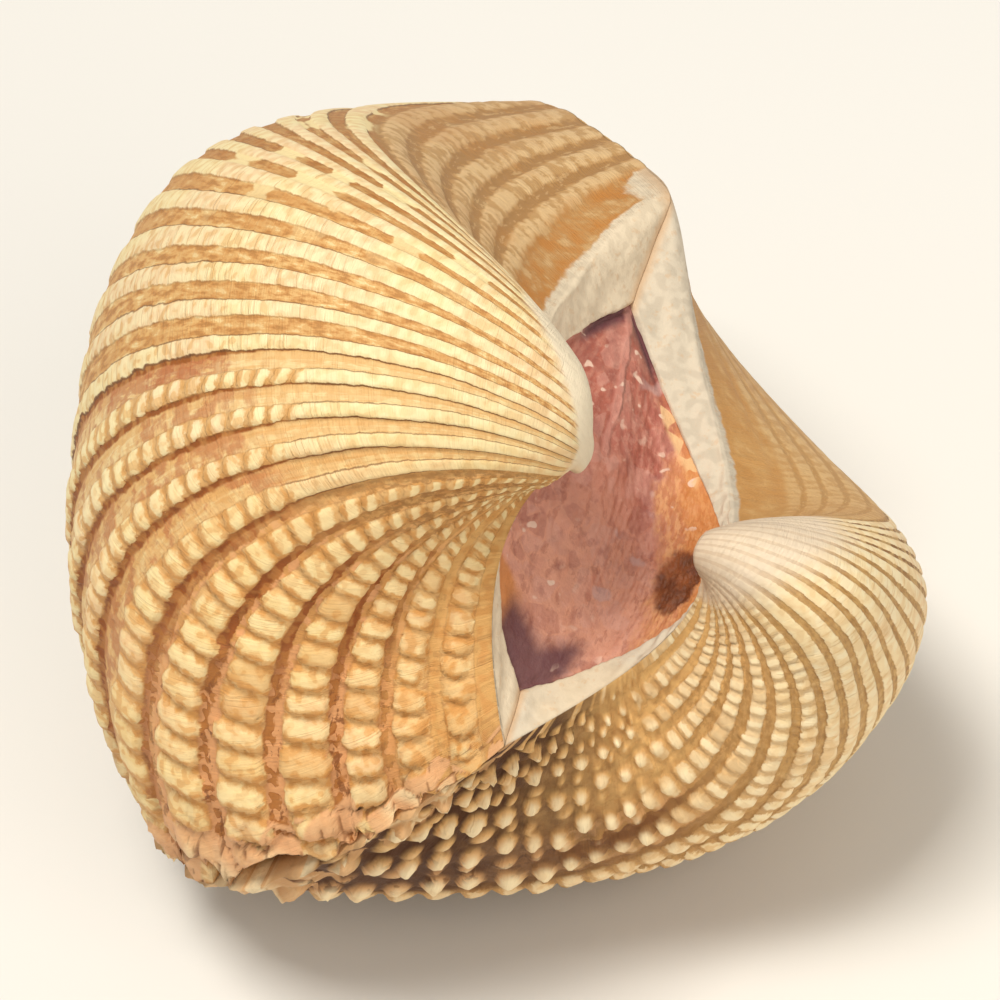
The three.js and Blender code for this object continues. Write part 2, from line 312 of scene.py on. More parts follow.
def umbo_swelling(valve, rib, age):
    """How far the umbo stands out of the plain spiral, or is sunk in it: a share of the edge's size at that
    age, between two ages and within two ribs."""
    swelling, from_age, to_age, first_rib, last_rib = valve["umbo"]
    there = step(age, from_age, to_age) * step(rib - first_rib, 0, 6) * step(last_rib - rib, 0, 5)
    return swelling * EDGE_SIZE * grown(valve, age) * there


def ribbed_relief(valve, rib, bead, age):
    """The height over the bare outside, and that of the ribs from 0 in a groove to 1 on a crest. A smooth rib
    is a flat crest with steep sides. A beaded one is a row of flat bars that rise toward their younger side,
    with steep ends there, or on the left valve's front a row of pegs. Ahead of a rib lies a groove and behind
    it a low shoulder. All shrink with the edge and fade toward the umbo, sooner at the rear."""
    number = np.round(rib)
    phase = rib - number
    nearest = np.round(bead)
    behind = bead - nearest + 0.1 + 0.035 * drift(rib * 5, age * 40, valve["seed"] + 5)
    pulse = np.abs(behind) * np.where(behind < 0, 2.7, 1.75)
    sizes, scatters, shifts = bead_tables(valve)
    own = table_place(number, nearest)
    size = sizes[own]
    across = phase + (shifts[own] + 0.015 * drift(rib * 6, age * 50, valve["seed"] + 6))

    rear_slope = 1 - step(rib, 4, 5)
    soft = 0.05 + 0.12 * rear_slope
    half = crest_half(valve, rib, age) + 0.04 * rear_slope
    sides = step(phase, -half - soft, -half + soft) * (1 - step(phase, half - soft, half + soft))
    smooth = sides * (1 - 0.15 * (phase / 0.3) ** 2)

    square = 2.4 + 3.5 * step(rib, 19, 20.5) * (1 - step(rib, 22.5, 24.5))
    width = half * size * (1.2 - 0.45 * step(rib, 22.5, 25))
    reach = np.clip(1 - (np.abs(across) / width) ** square, 0, 1)
    bar = np.clip(1 - (pulse / (0.5 + 0.42 * reach)) ** 3.6, 0, 1) * reach ** 0.4 * (0.95 - 0.6 * behind)
    pointed = valve["pegs"] * step(rib, 18.4, 20.4) * step(1.5 - age, 0, 0.6)
    knob = bar * (1 - pointed) * size + pegs(valve, rib, age, across + scatters[own], pulse, size) * pointed
    beaded = beaded_share(valve, rib, age)
    crest = smooth * (1 - beaded) + (0.38 * smooth * (1 - 0.7 * pointed) + 0.62 * knob) * beaded

    wide = step(rib, 13.4, 14.4) * (1 - 0.6 * step(rib, 19, 21))
    behind_rib = step(phase, -0.49, -0.44) * (1 - sides) * (phase < 0) + step(phase, 0.42, 0.48)
    shoulder = valve["shoulder"] * wide * behind_rib
    height = valve["low_rib"] + (valve["high_rib"] - valve["low_rib"]) * step(rib, 14, 18)
    height = np.where(rib < 4.5, valve["slope_rib"], height)
    bare_age, sooner, bare_over = valve["bare"]
    bare_age = bare_age - sooner * np.clip(BARE_RIB - rib, 0, BARE_RIBS)
    fade = 1 - step(age, bare_age, bare_age + bare_over)
    rise = height * grown(valve, age) * fade * (crest + shoulder - 0.4)
    return rise + umbo_swelling(valve, rib, age), crest


def shards(u, v, seed):
    """Flat tilted flakes. Each point belongs to the nearest centre of a jittered lattice, and its height is
    that centre's own height and slope. The second value is small near the border of a flake."""
    table = np.random.default_rng(seed).uniform(-1, 1, (5, 64, 64))
    best = np.full(np.broadcast(u, v).shape, 9.0)
    second = best.copy()
    height = np.zeros_like(best)
    for across in (-1, 0, 1):
        for up in (-1, 0, 1):
            column, row = np.floor(u) + across, np.floor(v) + up
            own = table[:, column.astype(int) % 64, row.astype(int) % 64]
            du, dv = u - column - 0.5 - 0.45 * own[0], v - row - 0.5 - 0.45 * own[1]
            distance = np.hypot(du, dv)
            nearer = distance < best
            second = np.where(nearer, best, np.minimum(second, distance))
            best = np.where(nearer, distance, best)
            height = np.where(nearer, own[2] * 0.6 + own[3] * du + own[4] * dv, height)
    return height, second - best


def flaked(valve, place, age):
    """The broken shell close to the margin: the height of tilted flakes, the cracks between them, and each
    flake's own number for its colour. They stand higher toward the edge and are low near the hinge."""
    near = (1 - step(age, 0.06, 0.22)) * step(place, 0.52, 0.75)
    height, border = shards(place * 52 + 2 * age, age * 13 + place * 9, valve["seed"] + 11)
    crack = 1 - step(border, 0.03, 0.14)
    amount = 0.6 * near * (1 - 0.85 * step(place, 0.86, 0.94)) * valve["broken"]
    own = near * (0.5 + 0.45 * np.clip(height, -1, 1))
    return amount * (0.8 * height - 0.35 * crack), near * crack * valve["broken"], own


def corner_bulge(place, age):
    """The rounded corner at the rear end of the hinge, where the valves meet: a soft swelling that fades with
    age and with distance from the hinge's end."""
    away = np.where(place > 1, (2 - place) / 0.12, place / 0.03)
    return 0.8 * np.exp(-(age / 0.4) ** 2 - away ** 2)


def chipped(valve, place, age):
    """An age moved back where the edge is chipped away: one deep bite and small ones beside it."""
    bite = np.clip(1 - ((place - 0.8) / 0.045) ** 2, 0, 1)
    small = 0.8 * np.clip(drift(place * 34, 0, 21), 0, 1)
    small = small * step(place, 0.55, 0.7) * step(0.97 - place, 0, 0.06)
    return age + valve["chip"] * np.maximum(bite, small) * np.exp(-age / 0.12)


def cardinal_relief(place, age):
    """The cardinal area between hinge line and ridge: chalky rims, slightly crowned, and a floor sunk by a
    steep step. The floor is less deep toward the beak."""
    share = place - 1
    ragged = 0.0016 * drift(share * 3, age * 7, 31)
    low, high = FLOOR_FRONT + ragged, FLOOR_REAR + ragged
    floor = step(share, low - FLOOR_STEP * 0.8, low) * (1 - step(share, high, high + FLOOR_STEP * 0.8))
    depth = FLOOR_DEPTH * np.clip(1 - age / FLOOR_FADE_AGE, 0, 1)
    uneven = 0.05 * drift(share * 9, age * 4, 33)
    return np.where(place > 1, -floor * depth + uneven * (1 - floor) * step(share, 0, 0.03), 0), floor


def valve_grid(valve):
    """The whole closed surface of a valve as a grid: rows from the beak down the outside, over the edge and
    up the inside, columns round it, a pole at each end, and what its finish follows."""
    place, rib = columns_of()
    young = RELIEF_END_AGE * np.linspace(1, 0, BEADED_ROWS) ** 1.2
    old = np.linspace(TIP_AGE, RELIEF_END_AGE, UMBO_ROWS, endpoint=False)
    ages = np.concatenate([old, young])[:, None]
    age = chipped(valve, place[None, :], ages)
    wander = 0.022 * drift(rib[None, :] * 0.3, age * 1.5, valve["seed"] + 2)
    wander = wander + 0.014 * drift(rib[None, :] * 2.0, age * 9.0, valve["seed"] + 3)
    wander = wander * np.where(rib < RIB_COUNT, step(ages, 0, 0.1), 0)
    numbered = rib[None, :] + wander - valve["rib_shift"]
    bead = bead_number(valve, numbered, age)
    on_hinge = (place > 1)[None, :]
    ends = step(place, 0.002, 0.012) * (1 - step(place, 0.978, 0.99))
    relief, lift = ribbed_relief(valve, numbered, bead, age)
    flakes, crack, flake = flaked(valve, place[None, :], age)
    relief = relief * (1 - 0.5 * (1 - step(age, 0.03, 0.1))) + flakes
    hinge_rise, floor = cardinal_relief(place[None, :], age)
    rise = np.where(on_hinge, hinge_rise, relief * ends[None, :]) + corner_bulge(place[None, :], age)
    outside = raised(valve, place[None, :], age, rise)
    inner = np.stack([inside(valve, place, chipped(valve, place, inner_age)) for inner_age in INNER_AGES])
    grid = np.concatenate([outside, inner])
    poles = np.concatenate([ring_middle(valve, TIP_AGE), ring_middle(valve, INNER_TIP_AGE)])
    plain = np.ones(len(INNER_AGES))[:, None]
    inner_chalk = step(np.array(INNER_AGES), 0.1, 0.2)[:, None] * np.ones(len(place))
    follow = {
        "rib": np.concatenate([numbered, plain * numbered[-1]]),
        "bead": np.concatenate([bead, plain * bead[-1]]),
        "lift": np.concatenate([lift, plain * lift[-1]]),
        "crack": np.concatenate([crack, plain * crack[-1]]),
        "flake": np.concatenate([flake, plain * flake[-1]]),
        "age": np.concatenate([age, plain * 0.0 * place]),
        "chalk": np.concatenate([np.broadcast_to(on_hinge | (place < 0.002), age.shape) * 1.0, inner_chalk]),
        "floor": np.concatenate([np.where(on_hinge, floor, 0), plain * np.zeros(len(place))]),
        "place": np.broadcast_to(place, grid.shape[:2]),
    }
    return grid, poles, follow


def in_part(points):
    """Points of the shell's own frame in the frame of the part, in metres: turned as the shell lies."""
    return (points @ lie_turn.T + SHELL_PLACE) * MM


def placed(points, side):
    """A valve's points in the frame of the part. The left valve is mirrored, and a thin gap parts the two."""
    return in_part(points * np.array([1, side, 1]) + np.array([0, side * SEAM_GAP / 2, 0]))


def closed_piece(name, grid, poles, follow):
    """A closed mesh from a grid whose rows are rings: each row is joined to the next by quads, and the first
    and last to their poles by fans. The faces are turned to point out, by the sign of the volume."""
    rows, columns = grid.shape[:2]
    points = np.concatenate([grid.reshape(-1, 3), poles])
    row, column = np.meshgrid(np.arange(rows - 1), np.arange(columns), indexing="ij")
    ahead = (column + 1) % columns
    corner_rows = np.stack([row, row, row + 1, row + 1], -1)
    corner_columns = np.stack([column, ahead, ahead, column], -1)
    quads = (corner_rows * columns + corner_columns).reshape(-1, 4)
    ring = np.arange(columns)
    turned = (ring + 1) % columns
    base = (rows - 1) * columns
    first = np.stack([np.full(columns, rows * columns), turned, ring], -1)
    last = np.stack([np.full(columns, rows * columns + 1), base + ring, base + turned], -1)
    halves = np.concatenate([quads[:, [0, 1, 2]], quads[:, [0, 2, 3]], first, last])
    a, b, c = (points[halves[:, i]] for i in range(3))
    if np.einsum("ij,ij->i", a, np.cross(b, c)).sum() < 0:
        quads, first, last = quads[:, ::-1], first[:, ::-1], last[:, ::-1]
    corners = np.concatenate([quads.ravel(), first.ravel(), last.ravel()])
    starts = np.concatenate([np.arange(len(quads)) * 4, len(quads) * 4 + np.arange(2 * columns) * 3])
    mesh = bpy.data.meshes.new(name)
    mesh.vertices.add(len(points))
    mesh.vertices.foreach_set("co", points.ravel())
    mesh.loops.add(len(corners))
    mesh.loops.foreach_set("vertex_index", corners.astype(np.int32))
    mesh.polygons.add(len(starts))
    mesh.polygons.foreach_set("loop_start", starts.astype(np.int32))
    mesh.update(calc_edges=True)
    mesh.shade_smooth()
    for key, values in follow.items():
        layer = mesh.attributes.new(key, "FLOAT", "POINT")
        ends = [values[0].mean(), values[-1].mean()]
        layer.data.foreach_set("value", np.concatenate([values.ravel(), ends]).astype(np.float32))
    piece = bpy.data.objects.new(name, mesh)
    bpy.context.scene.collection.objects.link(piece)
    return piece


def valve_piece(name, valve):
    """A valve in its place, as one closed mesh."""
    grid, poles, follow = valve_grid(valve)
    return closed_piece(name, placed(grid, valve["side"]), placed(poles, valve["side"]), follow)


def tone(code):
    """A colour from its six-digit code, as the shader wants it."""
    parts = [int(code[i:i + 2], 16) / 255 for i in (0, 2, 4)]
    return [v / 12.92 if v <= 0.04045 else ((v + 0.055) / 1.055) ** 2.4 for v in parts] + [1.0]


class Wire:
    """One number on its way through a material. Python's operators add Math nodes to it."""

    def __init__(self, finish, socket):
        self.finish = finish
        self.socket = socket

    def math(self, operation, *others):
        """A Math node of an operation, fed with this number and then the others."""
        inputs = dict(enumerate((self, *others)))
        return self.finish.node("ShaderNodeMath", {"operation": operation}, inputs)

    def __add__(self, other):
        return self.math("ADD", other)

    def __sub__(self, other):
        return self.math("SUBTRACT", other)

    def __mul__(self, other):
        return self.math("MULTIPLY", other)

    def __rsub__(self, other):
        return self.finish.node("ShaderNodeMath", {"operation": "SUBTRACT"}, {0: other, 1: self})

    __radd__ = __add__
    __rmul__ = __mul__

    def size(self):
        return self.math("ABSOLUTE")

    def most(self, other):
        return self.math("MAXIMUM", other)

    def over(self, other):
        return self.math("DIVIDE", other)

    def power(self, exponent):
        return self.math("POWER", exponent)

    def cycle(self):
        """How far the number is from the nearest whole number, with its sign."""
        return (self + 0.5).math("FRACT") - 0.5

    def step(self, low, high):
        """0 below low and 1 above high, smooth between. With low above high it falls."""
        turned = low > high
        settings = {"interpolation_type": "SMOOTHSTEP"}
        inputs = {"Value": self, "From Min": min(low, high), "From Max": max(low, high)}
        rising = self.finish.node("ShaderNodeMapRange", settings, inputs)
        return 1 - rising if turned else rising

    def band(self, middle, half, soft):
        """1 within half of middle, falling to 0 over soft."""
        return (self - middle).size().step(half + soft, half)


class Finish:
    """A material under construction."""

    def __init__(self, name):
        self.material = bpy.data.materials.new(name)
        self.material.use_nodes = True
        self.tree = self.material.node_tree
        self.tree.nodes.clear()

    def node(self, kind, settings, inputs, output=0):
        """A node of a type, with its settings first and then the values or links of its sockets."""
        node = self.tree.nodes.new(kind)
        for key, value in settings.items():
            setattr(node, key, value)
        for key, value in inputs.items():
            if isinstance(value, Wire):
                self.tree.links.new(value.socket, node.inputs[key])
            else:
                node.inputs[key].default_value = value
        return Wire(self, node.outputs[output]) if node.outputs else None

    def followed(self, name):
        """A number that the mesh carries at each of its points."""
        return self.node("ShaderNodeAttribute", {"attribute_name": name}, {}, "Fac")

    def joined(self, x, y, z=0.0):
        """A place from three numbers, for a noise that follows them and not the piece's own space."""
        return self.node("ShaderNodeCombineXYZ", {}, {"X": x, "Y": y, "Z": z})

    def noise(self, where, scale, detail=3.0, roughness=0.5):
        """Soft noise between 0 and 1. On the piece's own space the scale is in waves per metre."""
        inputs = {"Vector": where, "Scale": scale, "Detail": detail, "Roughness": roughness}
        return self.node("ShaderNodeTexNoise", {}, inputs)

    def cells(self, where, scale):
        """A random number for each of many small cells, with soft borders."""
        inputs = {"Vector": where, "Scale": scale, "Smoothness": 0.35}
        colour = self.node("ShaderNodeTexVoronoi", {"feature": "SMOOTH_F1"}, inputs, "Color")
        return self.node("ShaderNodeSeparateColor", {}, {"Color": colour})

    def chance(self, x, y):
        """A random number for each pair of whole numbers below x and y."""
        corner = self.joined(x.math("FLOOR"), y.math("FLOOR"))
        return self.node("ShaderNodeTexWhiteNoise", {"noise_dimensions": "2D"}, {"Vector": corner})

    def mixed(self, share, under, over, blend="MIX"):
        """One colour laid over another with a share: 0 leaves the one under it, 1 covers it."""
        settings = {"data_type": "RGBA", "blend_type": blend}
        return self.node("ShaderNodeMix", settings, {0: share, 6: under, 7: over}, 2)

    def layered(self, colour, *layers):
        """Layers laid over a colour one after another, each with its share and its own colour."""
        for share, over in layers:
            colour = self.mixed(share, colour, over)
        return colour

    def finished(self, colour, roughness, height, relief):
        """The shader, with a relief of a depth in metres, and the material that holds it."""
        bump = self.node("ShaderNodeBump", {}, {"Strength": 1.0, "Distance": relief, "Height": height})
        inputs = {"Base Color": colour, "Roughness": roughness, "Normal": bump, "Specular IOR Level": 0.35}
        shader = self.node("ShaderNodeBsdfPrincipled", {}, inputs)
        self.node("ShaderNodeOutputMaterial", {}, {"Surface": shader})
        return self.material


class ShellFinish(Finish):
    """What all the tones of a valve follow. The rib number and its fraction place crest, groove and shoulder,
    the bead number and its fraction the bars across a crest, and age the growth lines and zones."""

    def __init__(self, name, tones, strength):
        super().__init__(name)
        self.tones = {key: tone(code) for key, code in tones.items()}
        self.strength = strength
        self.rib, self.bead, self.age = map(self.followed, ("rib", "bead", "age"))
        self.lift, self.crack, self.flake = map(self.followed, ("lift", "crack", "flake"))
        self.chalk, self.floor, self.place = map(self.followed, ("chalk", "floor", "place"))
        self.mottle()
        self.number_ribs()
        self.number_beads()

    def mottle(self):
        """Noises. Three grains and patches are in the piece's own space, and unevenness, ticks, streaks and
        flecks are laid along the ribs."""
        rib, age = self.rib, self.age
        space = self.node("ShaderNodeTexCoord", {}, {}, "Object")
        self.fine = self.noise(space, FINE_WAVES, 4, 0.6)
        self.blotch = self.noise(space, BLOTCH_WAVES, 4, 0.6)
        self.cloud = self.noise(space, CLOUD_WAVES, 3)
        self.patch = (self.noise(space, PATCH_WAVES, 0) - 0.5) * 1.2 + self.blotch * 0.5 + 0.25
        self.along = self.noise(self.joined(rib * 1.6, age * 30), 1.0, 4, 0.65)
        self.across = self.noise(self.joined(rib * 0.5, age * self.strength["tick_rate"]), 1.0, 3, 0.6)
        self.streaks = self.noise(self.joined(rib * 16, age * 5), 1.0, 3, 0.6)
        self.flecks = self.noise(self.joined(rib * 5, age * 17), 1.0, 4, 0.6)

    def number_ribs(self):
        """The distance past a crest's side, the crest, the side ahead of a rib, and where ribs are beaded,
        ticked, or have islands of cream between them. Widths are those of the relief, with uneven sides."""
        rib, age, strength = self.rib, self.age, self.strength
        self.front = rib.step(14.95, 15.05)
        self.far_front = rib.step(18.6, 20)
        self.lumpy = rib.step(10.5, 13) * age.step(1.5, 1.1)
        rough = (self.blotch - 0.5) * self.far_front.most(self.lumpy) * 0.18
        uneven = (self.along - 0.5) * 0.1 + (self.fine - 0.5) * 0.05 + rough
        self.phase = (rib + uneven * strength["uneven"]).cycle()
        rear, middle, front = strength["crests"]
        half = rear + rib.step(13, 14.5) * middle
        half = half + self.far_front * (front - age.step(1.1, 1.9) * FRONT_NARROWING * strength["widening"])
        self.half = half + age.step(1.3, 2.3) * (1 - self.far_front) * UMBO_WIDENING * strength["widening"]
        self.past = self.phase.size() - self.half
        self.crest = self.past.step(0.03, -0.02)
        self.ahead = self.phase.step(0, 0.02)
        young = (age + (rib - 18) * 0.05 + (self.blotch - 0.5) * 0.5).step(1.42, 1.3)
        beaded = (rib.step(15.45, 15.55) * young).most(rib.step(19.45, 19.55))
        self.beaded = beaded.most(strength["pegs"] * rib.step(17.45, 17.55))
        ticks = self.across.step(0.54, 0.64) * rib.step(7, 10) * (1 - self.beaded)
        self.ticks = ticks * (1 - age.step(*strength["tick_ages"]))
        between = self.joined(rib.math("FLOOR") * 3.71, age * 4.3 + self.blotch * 0.25)
        islands = self.noise(between, 1.0, 1, 0.4) + self.phase.size() * -0.16 + 0.08
        self.islands = islands.step(0.60, 0.625) * rib.step(12.2, 9.5) * strength["islands"]

    def number_beads(self):
        """The bars across beaded crests and their bright tops, which are painted light on the older side of
        each bar, some of them missing on the left valve, and where pegs stand instead, whose tops follow
        their height.
        Each bead has a random number of its own."""
        rib, age, fine, lift = self.rib, self.age, self.fine, self.lift
        ragged = 0.3 + rib.step(19, 18) * 0.2
        behind = (self.bead + (fine - 0.5) * ragged + (self.blotch - 0.5) * 0.36).cycle() + 0.1
        self.pulse = behind.most(0) * 1.6 + (behind * -1).most(0) * 2.5
        reach = (1 - self.phase.size().over(self.half * 1.2).power(3)).most(0)
        self.near = self.pulse.over(reach * 0.42 + 0.5)
        # The whole bar; below its top it stays tan, painted shade on the bar's steep younger side.
        self.bar = self.near.step(1.0, 0.8) * reach.step(0.02, 0.2) * lift.step(0.1, 0.3)
        self.pointed = rib.step(18.4, 20.4) * age.step(1.5, 0.9) * self.strength["pegs"]
        self.own = self.chance(rib + 0.5, self.bead + 0.5)
        # The bright top on each bar's older side: painted light on the face turned toward the lamp.
        top = self.near + age.step(1.1, 1.7) * self.far_front * 0.2 + (fine - 0.5) * 0.3
        top = top.step(0.92, 0.6) * behind.step(-0.12, 0.0) * reach.step(0.08, 0.25) * lift.step(0.2, 0.4)
        # Pale peg tips by height: partly their own cream, partly a painted highlight.
        top = top * (1 - self.pointed) + lift.step(0.4, 0.95) * self.pointed
        top = top * (1 - rib.step(23.0, 24.6) * self.blotch.step(0.6, 0.42) * age.step(0.9, 0.6))
        missing = self.far_front * self.strength["pegs"] * (1 - self.pointed) * self.own.step(0.45, 0.8)
        self.top = top * (1 - missing * 0.75)


def crest_tones(f):
    """Cream crests, clouded with peach, pale and tan, with tan ticks across the smooth ones. Some beads are
    tan or pale as a whole, and the oldest beads are pale; the pegs are pale too, partly their own cream and
    partly a painted highlight."""
    tones = f.tones
    return f.layered(
        tones["cream"],
        (f.cloud.step(0.4, 0.62), tones["peach"]),
        (f.patch.step(0.5, 0.66) * 0.5, tones["pale"]),
        (f.patch.step(0.42, 0.3) * (f.lumpy * 0.3 + 0.3), tones["tan"]),
        (f.ticks * f.strength["ticks"], tones["tan"]),
        (f.beaded * f.far_front * f.own.step(0.75, 1.0) * 0.5, tones["tan"]),
        (f.beaded * f.own.step(0.3, 0.0) * 0.5, tones["pale"]),
        # The oldest front beads are pale in their own tone; the pegs are made pale partly as a painted
        # highlight.
        ((f.far_front * f.age.step(0.9, 1.3) * 0.6).most(f.pointed * 0.6), tones["pale"]),
    )


def rear_bands(f):
    """Brown bands between the smooth ribs, mottled with golden, cream and olive flecks, more so toward the
    middle, and cut into dashes by islands of cream on the right valve."""
    tones = f.tones
    lively = f.rib.step(8, 12.5) * 0.45 + f.cloud.step(0.45, 0.6) * 0.3
    lively = lively * (0.3 + f.strength["islands"] * 0.7)
    return f.layered(
        tones["brown"],
        (f.patch.step(0.38, 0.6), tones["rust"]),
        (f.rib.step(8.5, 10.5) * 0.7, tones["orange"]),
        (f.flecks.step(0.44, 0.54) * lively, tones["golden"]),
        (f.flecks.step(0.56, 0.64) * lively, tones["cream"]),
        (f.flecks.step(0.46, 0.38) * 0.35, tones["olive"]),
        (f.islands, tones["cream"]),
    )


def groove_tones(f):
    """Rust brown in patches, more olive toward the umbo."""
    tones = f.tones
    return f.layered(
        tones["groove"],
        (f.patch.step(0.4, 0.62), tones["rust"]),
        (f.age.step(1.3, 1.7) * 0.6, tones["olive"]),
    )


def middle_spaces(f, rust):
    """The ground between the middle ribs: tan and cream, worn to rust in places, with a rust brown groove
    ahead of each rib."""
    tones, rusty = f.tones, f.strength["rusty"]
    worn = (f.blotch + f.cloud * 0.6).step(0.74, 0.88) * f.age.step(1.4, 1.2)
    rusty_patch = f.rib.band(15.4, 0.5, 0.4) * f.age.band(1.0, 0.16, 0.12) * f.flecks.step(0.4, 0.5)
    groove = (f.past - (0.05 + f.age.step(1.4, 1.1) * 0.09)).step(0.03, -0.03) * f.ahead
    return f.layered(
        tones["shoulder"],
        (f.patch.step(0.45, 0.7) * 0.6, tones["cream"]),
        (f.streaks.step(0.5, 0.65) * 0.6, tones["tan"]),
        (f.flecks.step(0.42, 0.36) * 0.5, tones["tan"]),
        (f.flecks.step(0.56, 0.62) * 0.5, tones["cream"]),
        (f.ahead * 0.5, tones["tan"]),
        (worn * rusty, tones["rusty"]),
        (rusty_patch * rusty, tones["rusty"]),
        (groove, rust),
    )


def front_spaces(f, rust):
    """The spaces between the front rows: rust brown with a lighter fringe behind each row, flaked and stained
    near the margin, golden on the foremost ribs and toward the umbo, with browner flecks there."""
    tones = f.tones
    fringe = (f.past + (f.blotch - 0.5) * 0.7 + (f.fine - 0.5) * 0.2).step(0.17, 0.1) * (1 - f.ahead)
    flaky = f.age.step(0.75, 0.4) * f.rib.step(18, 19.5)
    loose = f.past + (f.patch - 0.5) * 0.9 + (1 - f.ahead) * -0.08
    golden = f.mixed(f.patch.step(0.35, 0.6), tones["tan"], tones["golden"])
    golden = f.mixed(f.flecks.step(0.46, 0.38) * 0.5, golden, tones["slope"])
    last_ribs = f.rib.step(*f.strength["golden_from"])
    return f.layered(
        rust,
        (fringe, f.mixed(f.patch.step(0.4, 0.55), tones["notch"], tones["flake"])),
        (flaky * loose.step(0.12, 0.05), tones["flake"]),
        (flaky * f.flecks.step(0.44, 0.38) * 0.8, tones["stain"]),
        ((last_ribs * 0.9).most(f.age.step(1.0, 1.5) * 0.65), golden),
        (f.age.step(1.1, 1.6) * f.rib.step(23.5, 22) * f.flecks.step(0.56, 0.46) * 0.6, tones["slope_dark"]),
    )


def ribbed_tones(f):
    """Crests over spaces. A beaded crest is tan, as painted shade on the steep younger side of each bar,
    darker in the gaps between its bars as a painted shadow, and bright on their tops as painted light. On the
    left valve it is pale all along toward the umbo."""
    tones = f.tones
    tops = crest_tones(f)
    rust = groove_tones(f)
    spaces = f.mixed(f.front * f.strength["ground"], rear_bands(f), middle_spaces(f, rust))
    spaces = f.mixed(f.far_front, spaces, front_spaces(f, rust))
    between = f.mixed(f.patch.step(0.4, 0.6), tones["tan"], tones["shoulder"])
    between = f.mixed((f.patch.step(0.4, 0.3) * 0.6).most((1 - f.far_front) * 0.5), between, tones["notch"])
    # Groove tone in the gaps past each bar's steep end: a painted shadow.
    gap = f.mixed(f.near.step(1.0, 1.3) * 0.4 * (0.2 + f.far_front * 0.8), between, tones["groove"])
    bars = f.layered(
        spaces,
        (f.crest * (1 - f.pointed), gap),
        (f.bar * (1 - f.pointed), between),
        (f.age.step(1.1, 1.8) * f.crest * (1 - f.pointed) * f.strength["pegs"] * 0.55, tops),
        (f.top, tops),
    )
    return f.mixed(f.beaded, f.mixed(f.crest, spaces, tops), bars)


def rib_lines(f):
    """How dark the thin lines along both sides of a rib are, painted shade at the steps down from its crest:
    fainter on beaded ribs and toward the beak, and faint ahead of the rear ribs."""
    rear_line = (f.past - 0.012).size().step(0.035, 0.008) * (1 - f.ahead)
    front_line = (f.past - 0.02).size().step(0.035, 0.01) * f.ahead
    line = (rear_line * 0.9).most(front_line * f.front).most(front_line * 0.35)
    line = line * (1 - f.islands * (1 - f.front)) * (0.35 + f.along) * (1 - f.beaded * 0.8)
    return line * f.age.step(3.4, 2.6) * f.strength["line"]


def slope_tones(f, colour):
    """The rear slope over a colour: brown ripples with lighter cobbles and dark sunken lines, and amber shell
    without ribs beside the rim."""
    tones = f.tones
    cobbles = (f.blotch + (f.along - 0.5) * 0.3 + (0.5 - f.pulse) * 0.16).step(0.42, 0.56)
    cobbles = cobbles * f.lift.step(0.2, 0.6)
    sunken = (f.lift + (f.patch - 0.5) * 0.9).step(0.42, 0.16)
    ripple = f.layered(
        tones["slope"],
        (cobbles * 0.9, tones["slope_bar"]),
        (sunken * f.strength["slope_groove"], tones["slope_dark"]),
        ((f.cloud + f.blotch * 0.4).step(0.7, 0.82) * 0.3, tones["amber"]),
        (f.flecks.step(0.57, 0.62) * 0.45, tones["slope_bar"]),
    )
    amber = f.mixed((f.blotch + f.cloud * 0.5).step(0.6, 0.9), tones["amber"], tones["slope"])
    amber = f.mixed(f.blotch.step(0.54, 0.68) * 0.5, amber, tones["slope_bar"])
    return f.layered(colour, (f.rib.step(4.7, 4.3) * 0.95, ripple), (f.rib.step(0.0, -0.42), amber))


def aged_tones(f, colour):
    """Age over a colour: the pale umbo without ribs, the ground between the pegs darker toward the margin,
    partly its own dark brown and partly painted shade in the recesses between the pegs and over the lower
    part of the valve, a stained margin, a warmer front, and the flakes and cracks of the broken edge."""
    tones, strength = f.tones, f.strength
    bare_age, sooner, bare_over = strength["bare"]
    bare = f.age + (f.blotch - 0.5) * 0.2 + (f.streaks - 0.5) * 0.2
    bare = bare + (BARE_RIB - f.rib).most(0).math("MINIMUM", BARE_RIBS) * sooner
    umbo = bare.step(bare_age, bare_age + bare_over) * (0.95 - (1 - f.crest) * strength["umbo_grooves"])
    # Darker ground between the pegs and toward the margin: partly its own dark brown, partly painted shade in
    # the recesses between the pegs and over the lower part of the valve.
    shade = (f.age + (f.blotch - 0.5) * 0.6).step(1.15, 0.25) * f.rib.step(14, 17) * f.lift.step(0.58, 0.14)
    stain = f.age.step(0.25, 0.03) * (f.blotch + f.cloud - 0.5).step(0.35, 0.65) * f.rib.step(10, 16)
    colour = f.layered(
        colour,
        (umbo, tones["umbo"]),
        (shade * strength["shade"], tones["stain"]),
        (stain * 0.4, tones["stain"]),
    )
    colour = f.mixed(f.rib.step(16, 20) * strength["warm"], colour, tones["warm"], "MULTIPLY")
    broken = f.mixed(f.flake.step(0.6, 0.9), tones["flake"], tones["peach"])
    return f.layered(
        colour,
        (f.flake.step(0.4, 0.46) * 0.85, broken),
        (f.crack.step(0.4, 1.0) * 0.7, tones["stain"]),
    )


